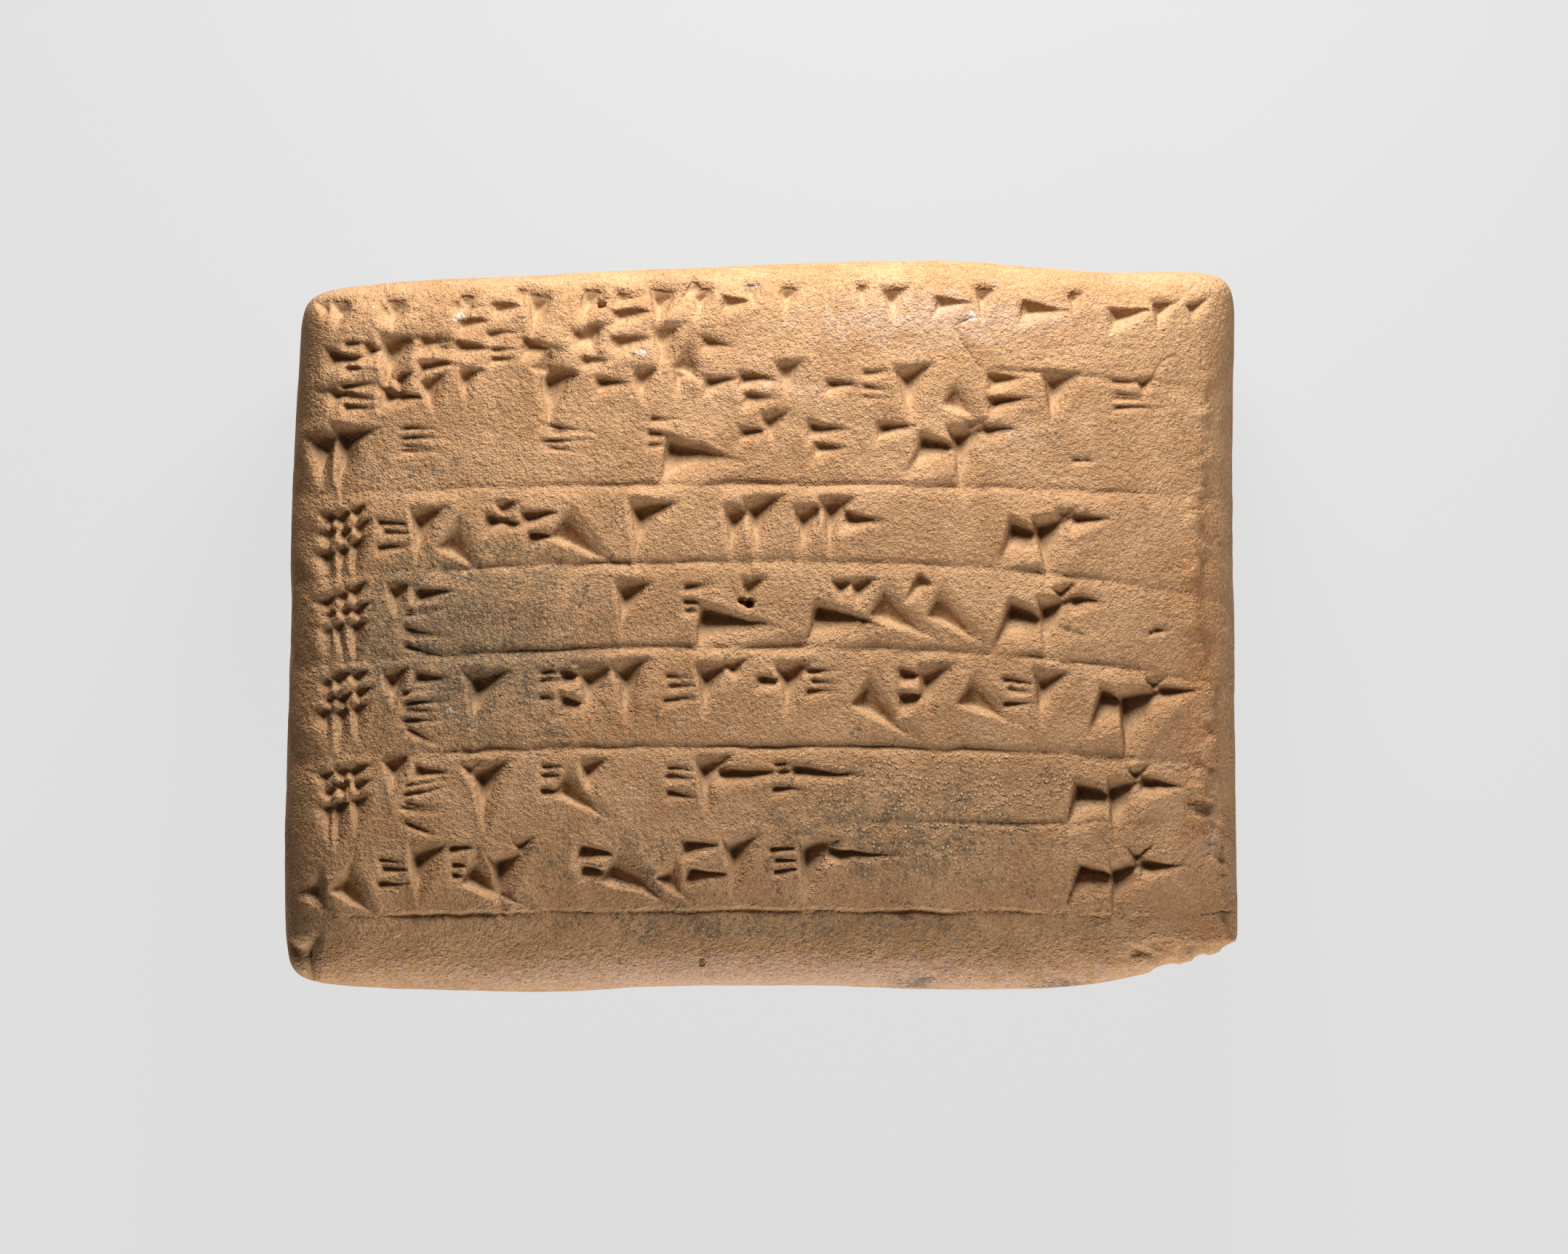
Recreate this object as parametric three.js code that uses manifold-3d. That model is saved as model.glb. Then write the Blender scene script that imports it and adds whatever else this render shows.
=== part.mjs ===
// A small clay account tablet, lying on its back with the written face up.
// Millimetres. X runs along the written lines, Y towards the first line, Z up.
// The origin is the middle of the flat worn spot that the tablet rests on.
import * as THREE from "three";
import { mergeVertices } from "three/addons/utils/BufferGeometryUtils.js";
import Module from "manifold-3d";

// ---- Driving sizes -------------------------------------------------------

const LENGTH = 54;
const THICKNESS = 17;
const PARTING_Z = 8.7; // height of the widest outline above the rest spot
const FACE_RISE = THICKNESS - PARTING_Z;
const BACK_DEPTH = 8.9; // the last 0.2 is worn away as the rest spot

// Squareness of the outline at each corner, named by its place on the face.
const CORNER_POWER = { topLeft: 28, topRight: 23, bottomLeft: 26, bottomRight: 60 };

// Squareness of the sections towards each edge.
const FACE_POWER = { left: 7.5, right: 6.0, bottom: 4.6, top: 8.5 };
const BACK_POWER = { left: 4.2, right: 4.2, bottom: 3.1, top: 3.1 };
const BLEND_POWER = 7; // how quickly one section turns into the other at the corners

const GRID = { x: 16, y: 13, z: 6 }; // facets along each edge of the blank
const CROWDING = 0.6; // how far those facets crowd towards the blank's edges

// Hand-squared edges: [place along the edge, distance from the centre line].
const EDGES = {
  top: [[-27, 19.0], [-20.4, 19.55], [-10.4, 20.0], [-2.2, 20.4], [9.5, 20.75], [16, 20.3], [20, 20.05], [27, 20.3]],
  bottom: [[-27, 20.2], [-20.4, 20.55], [-11.2, 20.75], [-6.3, 20.5], [3.6, 20.4], [12, 20.6], [19.3, 20.2], [27, 18.2]],
  left: [[-21, 27], [-11.3, 27], [-3, 26.8], [1.1, 26.68], [4.2, 26.8], [10.4, 26.55], [15.6, 26.2], [21, 26.0]],
  right: [[-21, 27], [-14.4, 26.96], [-1, 26.75], [9.4, 26.63], [15.6, 26.75], [21, 26.95]],
};

// ---- Writing -------------------------------------------------------------

// Every impression is one wedge: a broad head, and two walls that meet in a valley
// running out to the tail. `heading` is the tail's direction in degrees from +X,
// `valley` the valley's share of the breadth and `plunge` its distance from the head.
const WEDGES = {
  tall: { heading: -90, length: 3.5, breadth: 2.1, depth: 0.93, valley: 0.38, plunge: 0.95 },
  short: { heading: -90, length: 2.1, breadth: 1.5, depth: 0.72, valley: 0.38, plunge: 0.65 },
  nail: { heading: -84, length: 1.3, breadth: 1.15, depth: 0.5, valley: 0.42, plunge: 0.4 },
  spike: { heading: -86, length: 2.3, breadth: 1.1, depth: 0.5, valley: 0.42, plunge: 0.4 },
  post: { heading: -88, length: 4.2, breadth: 2.7, depth: 1.05, valley: 0.2, plunge: 0.8 },
  slab: { heading: -13, length: 4.2, breadth: 2.6, depth: 1.0, valley: 0.3, plunge: 0.4 },
  level: { heading: 0, length: 2.5, breadth: 1.2, depth: 0.58, valley: 0.38, plunge: 0.5 },
  tooth: { heading: 0, length: 2.12, breadth: 0.62, depth: 0.38, valley: 0.4, plunge: 0.2 },
  streak: { heading: -3, length: 5.0, breadth: 1.0, depth: 0.6, valley: 0.4, plunge: 0.4 },
  slant: { heading: -30, length: 3.8, breadth: 1.9, depth: 0.72, valley: 0.76, plunge: 0.5 },
  rise: { heading: -125, length: 2.2, breadth: 1.1, depth: 0.6, valley: 0.5, plunge: 0.4 },
  hook: { heading: -40, length: 2.5, breadth: 1.9, depth: 0.7, valley: 0.78, plunge: 0.5 },
  rake: { heading: 9, length: 2.6, breadth: 0.5, depth: 0.34, valley: 0.4, plunge: 0.2 },
  comb: { heading: -4, length: 2.7, breadth: 0.5, depth: 0.34, valley: 0.4, plunge: 0.2 },
  fan: { heading: -20, length: 2.7, breadth: 0.6, depth: 0.4, valley: 0.4, plunge: 0.2 },
  dent: { heading: 0, length: 0.9, breadth: 0.45, depth: 0.25, valley: 0.5, plunge: 0.3 },
};

// A mark is a handful of wedges: [wedge, distance right, distance down].
const MARKS = {
  "|": [["tall", 0, 0]],
  "i": [["short", 0, 0]],
  "v": [["nail", 0, 0]],
  "!": [["tall", 0, 0.3], ["tall", 1.35, 0]],
  "-": [["level", 0, 1.1]],
  "=": [["level", 0, 0.8], ["level", 0.15, 2.0]],
  "_": [["slab", 0, 2.4]],
  "~": [["streak", 0, 1.0]],
  "\\": [["slant", 0, 1.4]],
  "/": [["rise", 0.6, -0.2]],
  "<": [["hook", 0, 1.7]],
  ":": [["dent", 0, 2.4], ["dent", 0.5, 2.1]],
  "e": [["tooth", 0, 0.5], ["tooth", 0.1, 1.15], ["tooth", 0, 1.85]],
  "E": [["tooth", 0, 0.75], ["tooth", 0.1, 1.4], ["tooth", 0, 2.1], ["tall", 2.5, 0]],
  "M": [["short", -0.1, -0.3], ["level", 0.9, 0.4], ["rake", 0.3, 1.5], ["comb", 0.2, 2.4], ["fan", 0.3, 3.15]],
  "w": [["comb", 0, 0.5], ["comb", 0.1, 1.1], ["comb", 0, 1.7]],
  "Y": [["nail", 0.9, -0.1], ["tall", 0, 0.7]],
  "T": [["slab", 0, 1.9], ["post", 3.0, 0.6], ["nail", 3.4, 0.1], ["level", 3.6, 0.9]],
  "#": [],
};
const STACK = { columns: 3, pitch: 0.86, fall: 0.94, drift: 0.12, climb: 0.14, courses: ["nail", "nail", "spike"] };

// Written lines: height of the heads at mid-length, and one mark to each millimetre.
const CELL = 1;
const FIRST_CELL = -25.5;
const FACE_LINES = [
  { height: 19.2, marks: " vi -i  =v- v| -i=  |/i- v i   v i -  i -  v -  i v " },
  { height: 17.0, marks: " -e- |=e- e -< =i-  |<-                             " },
  { height: 14.7, marks: " -e -v i i   -| -  i i- =  i - e  | \\ =   |  w v    " },
  { height: 12.0, marks: " !   w       w     e_   - i =   - T        :        " },
  { height: 7.2, marks: " #  E   < -v= \\    |    !   ! -        T            " },
  { height: 2.7, marks: " #   M            |  e_  i  _ vi\\ /\\   T       :    " },
  { height: -2.0, marks: " #   M   v|  e= | | E   v- |e  \\ = | \\ E    T       " },
  { height: -7.2, marks: " #   M   v|  e\\ i   E  ~  e~               T        " },
  { height: -11.72, marks: "< < E   e\\ Y   = \\  <=  | E  ~             T        " },
];
const BACK_LINES = [
  { height: 14, marks: "    E  | v =   -  |  v  =  i  | v   E   -           " },
  { height: 9.2, marks: "    |  =  i                                           " },
  { height: -11.2, marks: "    i   |  =                       i   =  |         " },
];

// Ruled lines: heights at left, middle and right, and where each starts and stops.
const FACE_RULINGS = [
  { left: 12.9, middle: 14.7, right: 13.2, from: -25.4, to: -19.5 },
  { left: 12.9, middle: 14.7, right: 13.2, from: 12, to: 25.2 },
  { left: 7.3, middle: 8.0, right: 7.0, from: -25.6, to: 25.0 },
  { left: 2.5, middle: 3.7, right: 1.2, from: -22, to: 25.0 },
  { left: -2.4, middle: -1.1, right: -3.5, from: -23.5, to: 25.0 },
  { left: -7.4, middle: -6.7, right: -8.0, from: -22.5, to: 25.2 },
  { left: -11.6, middle: -10.9, right: -11.1, from: 3.4, to: 23.6 },
  { left: -16.4, middle: -15.9, right: -16.5, from: -26, to: 25.4 },
];
const BACK_RULINGS = [
  { left: 9.6, middle: 10.3, right: 9.6, from: -22, to: 22 },
  { left: -10.6, middle: -10.0, right: -10.6, from: -22, to: 22 },
];
const GROOVE = { depth: 0.28, above: 0.2, below: 0.5, stations: 12 };
const DROOP_POWER = 2.4; // how late a line falls away towards its ends
const LINE_DROOP = { left: 1.1, right: 1.3 }; // fall of a written line's ends

// Old chips, as shallow wedges: a scar down the right edge, flakes at two corners.
const CHIPS = [
  { x: 25.3, y: -9.6, heading: -86, length: 4.4, breadth: 1.8, depth: 0.4, valley: 0.5, plunge: 1.5 },
  { x: 22.6, y: -19.2, heading: 14, length: 4.6, breadth: 2.4, depth: 0.9, valley: 0.35, plunge: 2 },
  { x: -26.0, y: -17.6, heading: -75, length: 3.0, breadth: 1.8, depth: 0.5, valley: 0.5, plunge: 1 },
];

const REACH = 2.2; // how far a cutter stands out of the clay, as a share of its depth
const WOBBLE = { shift: 0.13, turn: 6, size: 0.12 };
const REST_MARGIN = { x: 17.5, y: 10.5 }; // no writing is left on the worn spot

// ---- The blank -----------------------------------------------------------

// Smooth curve through a hand-squared edge's stations, with matching slopes.
function edgeDistance(stations, place) {
  const last = stations.length - 1;
  if (place <= stations[0][0]) return stations[0][1];
  if (place >= stations[last][0]) return stations[last][1];
  const i = stations.findIndex(([at]) => at > place) - 1;
  const slope = (j) => {
    const before = stations[Math.max(j - 1, 0)];
    const after = stations[Math.min(j + 1, last)];
    return (after[1] - before[1]) / (after[0] - before[0]);
  };
  const [from, near] = stations[i];
  const [to, far] = stations[i + 1];
  const span = to - from;
  const t = (place - from) / span;
  const ease = t * t * (3 - 2 * t);
  const bow = t * (1 - t) * ((1 - t) * slope(i) - t * slope(i + 1)) * span;
  return near + (far - near) * ease + bow;
}

function edgeAcross(unitX, unitY) {
  return edgeDistance(unitY < 0 ? EDGES.bottom : EDGES.top, (unitX * LENGTH) / 2);
}

function edgeAlong(unitX, planY) {
  return edgeDistance(unitX < 0 ? EDGES.left : EDGES.right, planY);
}

// 1 on the outline and less inside it, with each corner as square as its power.
function planRadius(x, y) {
  const side = x < 0 ? "Left" : "Right";
  const power = CORNER_POWER[(y < 0 ? "bottom" : "top") + side];
  return (Math.abs(x) ** power + Math.abs(y) ** power) ** (1 / power);
}

// Squareness of the section in the direction (x, y).
function sectionPower(power, x, y) {
  const along = Math.abs(x) ** BLEND_POWER;
  const across = Math.abs(y) ** BLEND_POWER;
  const sideways = x < 0 ? power.left : power.right;
  const upright = y < 0 ? power.bottom : power.top;
  if (along + across === 0) return upright;
  return (sideways * along + upright * across) / (along + across);
}

// Carries a point of the cube from -1 to 1 onto the pillow.
function ontoPillow(point) {
  const front = point.z > 0;
  const power = sectionPower(front ? FACE_POWER : BACK_POWER, point.x, point.y);
  const radius = planRadius(point.x, point.y);
  const scale = (radius ** power + Math.abs(point.z) ** power) ** (-1 / power);
  const x = point.x * scale;
  const y = point.y * scale;
  const planY = y * edgeAcross(x, y);
  const planX = x * edgeAlong(x, planY);
  const rise = front ? FACE_RISE : BACK_DEPTH;
  return new THREE.Vector3(planX, planY, PARTING_Z + rise * point.z * scale);
}

// Draws evenly spaced places towards the blank's edges, where it curves most.
function crowd(place) {
  return (1 - CROWDING) * place + CROWDING * Math.sin((place * Math.PI) / 2);
}

function blankGeometry() {
  const geometry = new THREE.BoxGeometry(2, 2, 2, GRID.x, GRID.y, GRID.z);
  const places = geometry.getAttribute("position");
  const point = new THREE.Vector3();
  for (let i = 0; i < places.count; i++) {
    point.fromBufferAttribute(places, i);
    const moved = ontoPillow(point.set(crowd(point.x), crowd(point.y), crowd(point.z)));
    places.setXYZ(i, moved.x, moved.y, moved.z);
  }
  return geometry;
}

// Everything below the rest plane, to be worn away.
function wearGeometry() {
  const depth = 4;
  const geometry = new THREE.BoxGeometry(LENGTH * 2, LENGTH * 2, depth);
  return geometry.translate(0, 0, -depth / 2);
}

// ---- Places on the skin --------------------------------------------------

// The point of the face (side 1) or of the back (side -1) over a place in plan.
function skinPoint(planX, planY, side) {
  const x = planX / edgeAlong(planX, planY);
  const y = planY / edgeAcross(x, planY);
  const power = sectionPower(side > 0 ? FACE_POWER : BACK_POWER, x, y);
  const radius = Math.min(planRadius(x, y), 0.995);
  const share = (1 - radius ** power) ** (1 / power);
  const rise = side > 0 ? FACE_RISE : BACK_DEPTH;
  return new THREE.Vector3(planX, planY, Math.max(PARTING_Z + side * rise * share, 0));
}

// The way out of the clay there, from the skin's slopes along X and Y.
function skinNormal(planX, planY, side) {
  const step = 0.1;
  const slopeX = skinPoint(planX + step, planY, side).sub(skinPoint(planX - step, planY, side));
  const slopeY = skinPoint(planX, planY + step, side).sub(skinPoint(planX, planY - step, side));
  return slopeX.cross(slopeY).normalize().multiplyScalar(side);
}

// ---- Cutters -------------------------------------------------------------

// A closed solid from corner points and faces, turned the right way out.
function closedGeometry(points, faces) {
  const volume = faces.reduce((sum, [a, b, c]) => {
    const cross = new THREE.Vector3().crossVectors(points[b], points[c]);
    return sum + points[a].dot(cross);
  }, 0);
  const turned = volume < 0 ? faces.map(([a, b, c]) => [a, c, b]) : faces;
  const geometry = new THREE.BufferGeometry().setFromPoints(points);
  geometry.setIndex(turned.flat());
  return geometry;
}

// The stylus corner that leaves one wedge: a point in the clay under three points on it.
function wedgeCutter(wedge, headX, headY, side, wobble) {
  const heading = THREE.MathUtils.degToRad(wedge.heading + wobble(2) * WOBBLE.turn);
  const size = 1 + wobble(3) * WOBBLE.size;
  const tail = new THREE.Vector2(Math.cos(heading), Math.sin(heading));
  const hand = wedge.heading < -60 ? 1 : -1;
  const across = new THREE.Vector2(-tail.y, tail.x).multiplyScalar(hand);
  const place = (alongTail, alongHead) => {
    const x = headX + wobble(0) * WOBBLE.shift + tail.x * alongTail + across.x * alongHead;
    const y = headY + side * (wobble(1) * WOBBLE.shift + tail.y * alongTail + across.y * alongHead);
    return [x, y];
  };
  const half = (wedge.breadth * size) / 2;
  const valley = half * (2 * wedge.valley - 1);
  const rim = [place(0, -half), place(0, half), place(wedge.length * size, valley)];
  const pit = place(wedge.plunge, valley);
  const deep = skinPoint(...pit, side).addScaledVector(skinNormal(...pit, side), -wedge.depth * size);
  const lifted = rim.map(([x, y]) => {
    const point = skinPoint(x, y, side);
    return point.sub(deep).multiplyScalar(REACH).add(deep);
  });
  return closedGeometry([deep, ...lifted], [[0, 1, 2], [0, 2, 3], [0, 3, 1], [1, 3, 2]]);
}

// Fall of a line from its height at mid-length, for a place along it.
function droop(x, left, right) {
  const share = Math.min(Math.abs(x) / (LENGTH / 2), 1) ** DROOP_POWER;
  return (x < 0 ? left : right) * share;
}

// A ruled line: one groove with a steep upper wall, tapering to nothing at its ends.
function grooveCutter(ruling, side) {
  const { left, middle, right, from, to } = ruling;
  const points = [];
  const faces = [];
  for (let i = 0; i <= GROOVE.stations; i++) {
    const share = i / GROOVE.stations;
    const x = from + (to - from) * share;
    const y = side * (middle - droop(x, middle - left, middle - right));
    const swell = Math.min(1, 4 * share, 4 * (1 - share)) * 0.9 + 0.1;
    const outward = skinNormal(x, y, side);
    const deep = skinPoint(x, y, side).addScaledVector(outward, -GROOVE.depth * swell);
    const spread = REACH * swell;
    const lift = GROOVE.depth * swell * (REACH - 1);
    const upper = skinPoint(x, y + side * GROOVE.above * spread, side).addScaledVector(outward, lift);
    const lower = skinPoint(x, y - side * GROOVE.below * spread, side).addScaledVector(outward, lift);
    points.push(deep, upper, lower);
    if (i === 0) continue;
    const now = 3 * i;
    const before = now - 3;
    for (const [a, b] of [[0, 1], [1, 2], [2, 0]]) {
      faces.push([before + a, before + b, now + b], [before + a, now + b, now + a]);
    }
  }
  const end = points.length - 3;
  faces.push([0, 2, 1], [end, end + 1, end + 2]);
  return closedGeometry(points, faces);
}

// The wedges of one mark. A stack is courses of nails, each a little further along.
function wedgesOf(mark) {
  if (mark !== "#") return MARKS[mark];
  return STACK.courses.flatMap((wedge, course) =>
    Array.from({ length: STACK.columns }, (_, column) => [
      wedge,
      column * STACK.pitch + (course % 2) * STACK.drift,
      course * STACK.fall - column * STACK.climb,
    ]),
  );
}

function isWorn(x, y, side) {
  return side < 0 && Math.hypot(x / REST_MARGIN.x, y / REST_MARGIN.y) < 1;
}

// Every wedge of some written lines, in reading order.
function lineCutters(lines, side) {
  const cutters = [];
  for (const { height, marks } of lines) {
    [...marks].forEach((mark, cell) => {
      if (mark === " ") return;
      for (const [name, right, down] of wedgesOf(mark)) {
        const number = cutters.length;
        const wobble = (channel) => (((4 * number + channel) * 7919) % 1009) / 504.5 - 1;
        const x = FIRST_CELL + cell * CELL + right;
        const y = side * (height - down - droop(x, LINE_DROOP.left, LINE_DROOP.right));
        if (!isWorn(x, y, side)) cutters.push(wedgeCutter(WEDGES[name], x, y, side, wobble));
      }
    });
  }
  return cutters;
}

// ---- Cutting -------------------------------------------------------------

const wasm = await Module();
wasm.setup();

function toSolid(geometry) {
  const bare = geometry.clone();
  bare.deleteAttribute("normal");
  bare.deleteAttribute("uv");
  const merged = mergeVertices(bare, 1e-4);
  return new wasm.Manifold(
    new wasm.Mesh({
      numProp: 3,
      vertProperties: new Float32Array(merged.getAttribute("position").array),
      triVerts: new Uint32Array(merged.getIndex().array),
    }),
  );
}

function toGeometry(solid) {
  const mesh = solid.getMesh();
  const geometry = new THREE.BufferGeometry();
  geometry.setAttribute("position", new THREE.BufferAttribute(mesh.vertProperties, 3));
  geometry.setIndex(new THREE.BufferAttribute(mesh.triVerts, 1));
  geometry.computeVertexNormals();
  return geometry;
}

const cutters = [
  wearGeometry(),
  ...lineCutters(FACE_LINES, 1),
  ...lineCutters(BACK_LINES, -1),
  ...CHIPS.map((chip) => wedgeCutter(chip, chip.x, chip.y, 1, () => 0)),
  ...FACE_RULINGS.map((ruling) => grooveCutter(ruling, 1)),
  ...BACK_RULINGS.map((ruling) => grooveCutter(ruling, -1)),
];
const pressed = cutters.reduce((clay, cutter) => clay.subtract(toSolid(cutter)), toSolid(blankGeometry()));

// ---- The part ------------------------------------------------------------

const clay = new THREE.MeshStandardMaterial({ color: 0xb68b60, roughness: 0.92, metalness: 0 });
const tablet = new THREE.Mesh(toGeometry(pressed), clay);
tablet.name = "tablet";

const part = new THREE.Group();
part.add(tablet);

export default part;
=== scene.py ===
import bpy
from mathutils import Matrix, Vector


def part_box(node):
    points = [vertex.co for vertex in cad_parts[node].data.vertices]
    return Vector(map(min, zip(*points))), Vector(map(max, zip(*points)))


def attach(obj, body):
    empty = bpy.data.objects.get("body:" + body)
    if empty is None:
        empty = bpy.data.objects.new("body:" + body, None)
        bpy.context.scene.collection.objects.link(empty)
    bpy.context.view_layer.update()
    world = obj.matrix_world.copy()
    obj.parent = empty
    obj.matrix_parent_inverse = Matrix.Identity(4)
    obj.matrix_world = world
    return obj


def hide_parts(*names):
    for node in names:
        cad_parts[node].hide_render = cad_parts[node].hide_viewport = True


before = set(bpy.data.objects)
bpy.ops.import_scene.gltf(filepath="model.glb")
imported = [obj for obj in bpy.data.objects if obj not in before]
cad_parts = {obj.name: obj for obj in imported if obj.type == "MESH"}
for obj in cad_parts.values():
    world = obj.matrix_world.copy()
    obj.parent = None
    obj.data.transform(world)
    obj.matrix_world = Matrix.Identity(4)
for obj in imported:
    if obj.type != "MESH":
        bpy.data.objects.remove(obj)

"""A small clay account tablet, lying on its back with the written face up.

Shapes are worked out in millimetres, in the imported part's own frame, and turned into metres
when they become a mesh. X runs along the written lines, Y towards the first line, Z up.
"""

import logging
import math
from dataclasses import dataclass, field
from enum import Enum
from itertools import product
from typing import Callable, Iterator, Sequence

import bpy
import numpy as np

MM = 0.001
NODE = "tablet"
HASH_PRIMES = (73856093, 19349663, 83492791)
HAND_STEP, HAND_CYCLE = 7919, 1009
log = logging.getLogger("tablet")

Grid = np.ndarray
Stations = tuple[tuple[float, float], ...]


# ---- Small mathematics ---------------------------------------------------


def ease(value: Grid, low: float, high: float) -> Grid:
    """Smoothstep: 0 up to low, 1 from high on, and 3t^2 - 2t^3 in between."""
    t = np.clip((value - low) / (high - low), 0.0, 1.0)
    return t * t * (3.0 - 2.0 * t)


def soft_min(first: Grid, second: Grid, radius: float) -> Grid:
    """The lower of two heights, less a parabola that rounds the corner where they meet.

    Args:
        first: One height field.
        second: The other, of the same shape.
        radius: Difference in height within which the corner is rounded.

    Returns:
        min(a, b) - radius/4 * max(1 - |a - b|/radius, 0)^2.
    """
    near = np.maximum(1.0 - np.abs(first - second) / radius, 0.0)
    return np.minimum(first, second) - 0.25 * radius * near * near


def through_stations(stations: Stations, places: Grid) -> Grid:
    """A cubic through a few stations, with the slope at each taken from its neighbours.

    Args:
        stations: (place, distance) pairs in rising order of place.
        places: Where to evaluate it; beyond the ends it stays level.

    Returns:
        The distances, as the Hermite blend of each pair's heights and slopes.
    """
    at = np.array([place for place, _ in stations])
    height = np.array([distance for _, distance in stations])
    before = np.maximum(np.arange(len(at)) - 1, 0)
    after = np.minimum(np.arange(len(at)) + 1, len(at) - 1)
    slope = (height[after] - height[before]) / (at[after] - at[before])
    held = np.clip(places, at[0], at[-1])
    i = np.clip(np.searchsorted(at, held, side="right") - 1, 0, len(at) - 2)
    span = at[i + 1] - at[i]
    t = (held - at[i]) / span
    bow = t * (1 - t) * ((1 - t) * slope[i] - t * slope[i + 1]) * span
    return height[i] + (height[i + 1] - height[i]) * t * t * (3 - 2 * t) + bow


def lattice_noise(x: Grid, y: Grid, z: Grid | float, pitch: float, seed: int) -> Grid:
    """Smooth noise in -1 to 1: random values on a cubic lattice, blended by smoothsteps.

    Args:
        x: Places along X.
        y: Places along Y, of the same shape.
        z: Places along Z, or a bare number where the noise is flat.
        pitch: Spacing of the lattice, in the units of the places.
        seed: Chooses the random values.

    Returns:
        The corner values of each place's cell, weighted by its share of each axis.
    """
    table = np.random.default_rng(seed).uniform(-1.0, 1.0, 4096)
    axes = (x, y) if np.isscalar(z) else (x, y, z)
    floors = [np.floor(axis / pitch) for axis in axes]
    cells = [cell.astype(np.int64) for cell in floors]
    shares = [ease(axis / pitch - cell, 0.0, 1.0) for axis, cell in zip(axes, floors)]
    total = np.zeros_like(x)
    for corner in product((0, 1), repeat=len(axes)):
        key = 0
        weight = 1.0
        for cell, share, step, prime in zip(cells, shares, corner, HASH_PRIMES):
            key = key ^ ((cell + step) * prime)
            weight = weight * (share if step else 1.0 - share)
        total += table[key & 4095] * weight
    return total


def layered_noise(x: Grid, y: Grid, z: Grid | float, pitch: float, seed: int, layers: int = 3) -> Grid:
    """Sum of noises, each with half the pitch and 0.55 of the height of the last.

    Args:
        x: Places along X.
        y: Places along Y.
        z: Places along Z, or a bare number where it is flat.
        pitch: Lattice spacing of the broadest noise.
        seed: Seed of the broadest; each next one adds 1.
        layers: How many noises are summed.

    Returns:
        The sum over the strengths' sum, within -1 to 1.
    """
    total = np.zeros_like(x)
    strength, norm = 1.0, 0.0
    for layer in range(layers):
        total += strength * lattice_noise(x, y, z, pitch / 2**layer, seed + layer)
        norm += strength
        strength *= 0.55
    return total / norm


def hand_hash(number: int) -> float:
    """The hand's unsteadiness for a number, from -1 to 1: its multiple, wrapped into the cycle."""
    return (number * HAND_STEP % HAND_CYCLE) / (HAND_CYCLE / 2) - 1


# ---- The blank -----------------------------------------------------------


class Side(Enum):
    """The two written sides, with the sign of their outward Z."""

    FACE = 1
    BACK = -1


@dataclass(frozen=True)
class Section:
    """Squareness of the pillow's sections towards each of its four edges."""

    left: float
    right: float
    bottom: float
    top: float


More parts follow.
